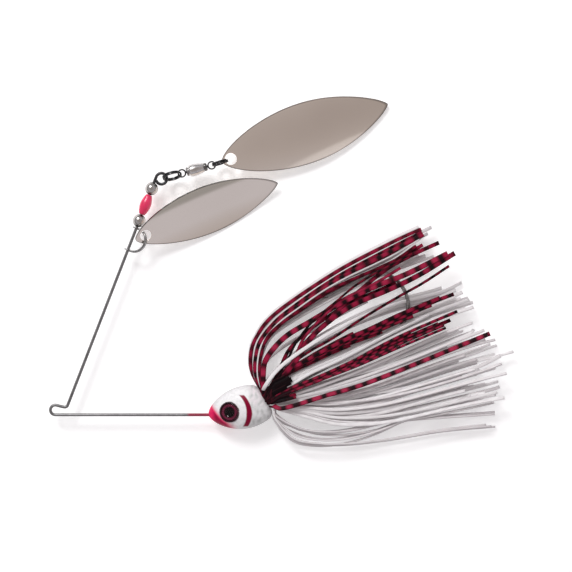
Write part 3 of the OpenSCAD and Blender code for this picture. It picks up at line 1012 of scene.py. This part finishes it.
    # Fourth group: the dense barred band, and the lowest barred strand by itself.
    dense_1 = [(21.5, 6.9), (26.2, 8.9), (35.8, 12.9), (45.0, 17.3), (57.0, 23.6), (74.2, 31.1)]
    dense_2 = [(21.7, 6.0), (26.5, 7.9), (36.0, 11.6), (45.0, 15.1), (57.0, 20.4), (70.8, 26.2)]
    lowest = [(21.5, 2.2), (26.0, 3.2), (34.6, 5.9), (46.3, 9.4), (63.4, 16.1), (83.8, 24.5)]
    strand(red_n, rng, dense_1, 3.6, 3.0, 98, wander=0, tone=0.35, bar=1.0, w=0.95, period=3.0, phase=0.2)
    strand(
        red_n, rng, between(dense_1, dense_2, 0.36), 3.2, 2.4, 104, wander=0, tone=0.45, bar=1.0, w=0.9,
        cut=4.5, black=7, period=3.0, phase=1.7,
    )
    strand(
        red_n, rng, between(dense_1, dense_2, 0.72), 3.4, 2.8, 108, wander=0, tone=0.35, bar=1.0, w=0.85,
        cut=1.0, black=9, period=3.1, phase=0.9,
    )
    strand(
        red_n, rng, dense_2, 3.8, 3.2, 112, wander=0, tone=0.45, bar=1.0, w=0.8, black=10, period=3.0,
        phase=2.4,
    )
    for y in (5.4, 4.6):
        strand(
            red_n, rng, [(22.0, y), (24.0, y + 0.5), (26.2, y + 1.1)], 3.7, 3.6, 118, fold=0, wander=0,
            tone=0.1, bar=1.0, black=8, w=1.1, n=30,
        )
    strand(
        red_n, rng, between(dense_1, dense_2, 0.1), 2.6, 1.4, 94, tone=0.15, bar=1.0, w=1.1, cut=14,
        black=12,
    )
    strand(red_n, rng, lowest, 3.6, 3.6, 138, wander=0, tone=0.6, bar=1.0, w=1.4, period=4.3)
    strand(red_f, rng, between(dense_1, dense_2, 0.5), -1.5, -2.0, -110, tone=0.3, bar=0.9)

    # Milky strands between the red groups.
    inner = [(15.2, 13.5), (16.6, 20.0), (19.8, 24.8), (27.7, 30.2), (37.9, 36.0), (50.0, 42.0), (67.0, 48.5)]
    under = [(16.5, 11.5), (17.4, 16.0), (22.9, 20.6), (32.0, 25.6), (43.0, 31.6), (55.0, 37.2), (69.0, 43.5)]
    bright = [
        (17.2, 9.2), (20.0, 13.0), (25.0, 17.4), (34.9, 23.9), (45.4, 29.2), (55.9, 33.2), (69.4, 36.7),
        (76.3, 39.6),
    ]
    middle = [(22.5, 9.6), (31.0, 13.8), (40.9, 18.0), (52.0, 23.8), (64.0, 29.5), (79.9, 35.3)]
    strand(white_n, rng, inner, 1.6, -1.0, 45, fan=0.3, fold=0, tone=0.35, bar=0.3, cut=1)
    strand(white_n, rng, inner, 1.0, -1.6, 42, fan=1.9, fold=0, tone=0.5, bar=0.3, cut=3)
    strand(white_n, rng, inner, 2.0, 0.2, 48, fan=-0.9, fold=0, tone=0.65, bar=0.3, w=0.8)
    strand(
        white_n, rng, between(arch_1, arch_2, 0.5), 2.2, 1.6, 45, fan=0.4, wander=0, fold=0, tone=0.5,
        w=0.5,
    )
    strand(
        white_n, rng, between(arch_2, arch_3, 0.5), 3.0, 2.8, 52, fan=0.2, wander=0, fold=0, tone=0.5,
        w=0.55,
    )
    strand(white_n, rng, arch_1, 0.6, -0.5, 25, fan=0.9, fold=0, tone=0.5, w=1.2)
    strand(white_n, rng, arch_1 + [(66.2, 57.0)], 0.2, -1.0, 30, fan=-0.5, fold=0, tone=0.5)
    strand(white_n, rng, arch_3 + [(66.5, 53.0)], 0.4, -1.0, 40, fan=1.6, fold=0, tone=0.45)
    strand(white_n, rng, under, 1.6, -2.4, 60, fan=0.2, fold=0, tone=0.1, bar=0.2, cut=22)
    for fan, tone, cut, w, z in (
        (0.0, 0.9, 0.0, 1.15, 4.3), (-1.3, 0.9, 2.0, 1.2, 1.6), (1.2, 1.0, 6.0, 1.2, 1.8),
        (-2.4, 0.7, 3.0, 1.0, 0.6),
    ):
        strand(
            white_n, rng, bright, z, -3.7, 42 + 3 * fan, fan=fan, wander=0, fold=0, drop=2.6, tone=tone,
            cut=cut, w=w,
        )
    gap = [(22.0, 8.1), (25.9, 10.0), (31.0, 12.9), (40.9, 17.4), (52.0, 23.2), (66.0, 30.0)]
    strand(white_n, rng, gap, 4.2, 1.0, 95, wander=0, over=3.3, tone=0.85, w=1.0)
    for i in range(8):
        fan = -3.0 + 0.8 * i
        strand(
            white_n, rng, middle, 2.2 - 0.3 * (i % 3), 0.2 - 0.8 * (i % 4), 90 + i, fan=fan, over=3.3,
            tone=rng.uniform(0.45, 1.0), bar=rng.uniform(0, 0.25), cut=rng.uniform(0, 6),
        )

    # The lower fan, a gap, and the lowest loops.
    fan_top = [(21.5, 5.2), (30.0, 8.2), (41.0, 12.2), (55.0, 18.0), (70.0, 24.6), (78.0, 27.8)]
    fan_low = [(21.2, 2.2), (27.4, 0.9), (33.0, -1.1), (42.0, -2.2), (56.0, -1.5), (86.7, 4.8)]
    gap_low = [(20.3, -0.6), (23.5, -3.2), (31.9, -5.3), (41.5, -4.9), (56.0, -1.9), (86.7, 0.4)]
    loop = [(19.9, -1.0), (22.0, -5.0), (27.1, -8.0), (37.9, -9.1), (52.0, -7.9), (70.6, -4.9), (86.5, -3.4)]
    for i in range(36):
        k = min(1.0, (i + rng.uniform(0.0, 0.8)) / 35)
        far = 5.5 * math.sin(math.pi * min(1.0, k * 1.05)) + (5.0 if i == 15 else 0.0)
        guide = between(fan_top, fan_low, k)
        a, b = Vector(guide[-2]), Vector(guide[-1])
        guide.append(tuple(b + (b - a).normalized() * far))
        tone = rng.choice((0.35, 0.5, 0.6, 0.7, 0.8, 0.9, 1.0))
        cut = rng.uniform(0, 11) if i % 3 else 0.0
        strand(
            white_n, rng, guide, rng.uniform(0.4, 2.8), rng.uniform(-2.6, 2.2), 118 + 40 * k, wander=0.7,
            sway=rng.gauss(0, 0.55), over=3.35, tone=tone, bar=rng.uniform(0, 0.3), cut=cut,
            w=rng.uniform(0.8, 1.2),
        )
    for i in range(15):
        k = (i + rng.uniform(0.2, 0.8)) / 15
        guide = between(fan_top, fan_low, k)
        strand(
            white_f, rng, guide, rng.uniform(-3.6, -1.6), rng.uniform(-4.2, -2.0), -118 - 40 * k,
            wander=0.6, tone=rng.uniform(0.4, 0.9), bar=rng.uniform(0, 0.3), cut=rng.uniform(0, 8),
        )
    back_up = [(20.1, -0.8), (22.8, -4.2), (29.0, -6.9), (38.0, -7.6), (50.0, -5.2), (64.0, 0.2), (82.0, 6.0)]
    for guide, k in (
        (gap_low, 0.0), (gap_low, 0.1), (loop, 0.0), (loop, 0.06), (back_up, 0.0), (back_up, 0.3),
        (back_up, -0.3),
    ):
        low = between(guide, fan_low, k)
        strand(
            white_n, rng, low, rng.uniform(-1.0, 2.6), rng.uniform(-3.0, 1.0), rng.uniform(160, 175),
            wander=0.2, tone=rng.uniform(0.1, 0.6), w=0.65, cut=rng.uniform(0, 2),
        )
    for guide in (gap_low, loop, back_up):
        strand(white_f, rng, guide, -2.0, -3.6, -165, wander=0.3, tone=rng.uniform(0.3, 0.6), w=0.7)
    for g, fan in ((inner, 1.0), (bright, -0.8), (middle, 0.5), (middle, -2.2)):
        strand(
            white_f, rng, g, -2.4, -3.8, -60, fan=fan, fold=0, tone=rng.uniform(0.5, 0.8), bar=0.2,
            cut=rng.uniform(0, 5),
        )
    # Shorter, darker strands below the run over the hook bend.
    for fan, cut, phi, z in ((-1.8, 9, 94, 3.0), (-2.8, 19, 97, 2.7), (-3.8, 30, 100, 2.5)):
        strand(
            red_n, rng, bend_2, z, z - 1.0, phi, fan=fan, cut=cut, wander=0, tone=0.12, bar=1.0, black=12,
            w=1.1,
        )
    for b in (red_n, red_f, white_n, white_f):
        b.build()


# ---------------------------------------------------------------- stage


def build_stage():
    me = bpy.data.meshes.new("floor")
    s = 3.0
    me.from_pydata([(-s, -s, 0), (s, -s, 0), (s, s, 0), (-s, s, 0)], [], [(0, 1, 2, 3)])
    floor = bpy.data.objects.new("floor", me)
    bpy.context.scene.collection.objects.link(floor)
    k = Mat("floor_paper", Roughness=0.9, Specular_IOR_Level=0.1)
    k.to(k.ramp(k.noise(60), [(0.3, (0.88, 0.88, 0.885)), (0.7, (0.90, 0.90, 0.905))]), "Base Color")
    k.b.inputs["Emission Color"].default_value = (1, 1, 1, 1)
    k.b.inputs["Emission Strength"].default_value = 0.33
    me.materials.append(k.m)

    # Studio surround: a warm grey ceiling, a lighter wall band and one large soft box.
    w = bpy.data.worlds.new("studio")
    bpy.context.scene.world = w
    w.use_nodes = True
    nt = w.node_tree
    bg = nt.nodes["Background"]
    geo = nt.nodes.new("ShaderNodeTexCoord")
    sep = nt.nodes.new("ShaderNodeSeparateXYZ")
    nt.links.new(geo.outputs["Generated"], sep.inputs[0])

    wall = color_ramp(
        nt,
        sep.outputs["Z"],
        [
            (0.0, (0.36, 0.355, 0.345)),
            (0.34, (0.33, 0.325, 0.32)),
            (0.39, (0.56, 0.542, 0.57)),
            (0.70, (0.56, 0.542, 0.57)),
            (0.93, (0.445, 0.405, 0.39)),
            (1.0, (0.39, 0.35, 0.333)),
        ],
    )
    dot = nt.nodes.new("ShaderNodeVectorMath")
    dot.operation = "DOT_PRODUCT"
    box = Vector((-0.33, 0.62, 0.71)).normalized()
    dot.inputs[1].default_value = box
    nt.links.new(geo.outputs["Generated"], dot.inputs[0])
    glow = [(0.905, (0, 0, 0)), (0.911, (0.07,) * 3), (0.955, (0.08,) * 3), (0.975, (1, 1, 1))]
    lamp = color_ramp(nt, dot.outputs["Value"], glow)
    mix = nt.nodes.new("ShaderNodeMix")
    mix.data_type = "RGBA"
    nt.links.new(lamp, mix.inputs[0])
    nt.links.new(wall, mix.inputs[6])
    mix.inputs[7].default_value = (3.0, 3.0, 3.0, 1)
    nt.links.new(mix.outputs[2], bg.inputs["Color"])
    bg.inputs["Strength"].default_value = 1.0

    light = bpy.data.lights.new("key", "AREA")
    light.shape = "RECTANGLE"
    light.size, light.size_y = 0.3, 0.3
    light.energy = 4.5
    key = bpy.data.objects.new("key", light)
    bpy.context.scene.collection.objects.link(key)
    key.location = (-0.35, 0.66, 0.75)
    key.rotation_euler = (-key.location).to_track_quat("-Z", "Y").to_euler()

    cam = bpy.data.cameras.new("camera")
    cam.lens = 85
    # Straight above the lure, as in the photo.
    co = bpy.data.objects.new("camera", cam)
    bpy.context.scene.collection.objects.link(co)
    co.location = (0.00198, -0.00463, 0.410)
    cam.clip_start = 0.01
    bpy.context.scene.camera = co
    bpy.context.scene.view_settings.view_transform = "Standard"


build_wire()
build_hook()
build_head()
build_eyes()
build_collar()
build_beads()
build_clevis()
build_blades()
build_swivel()
build_skirt()
build_stage()
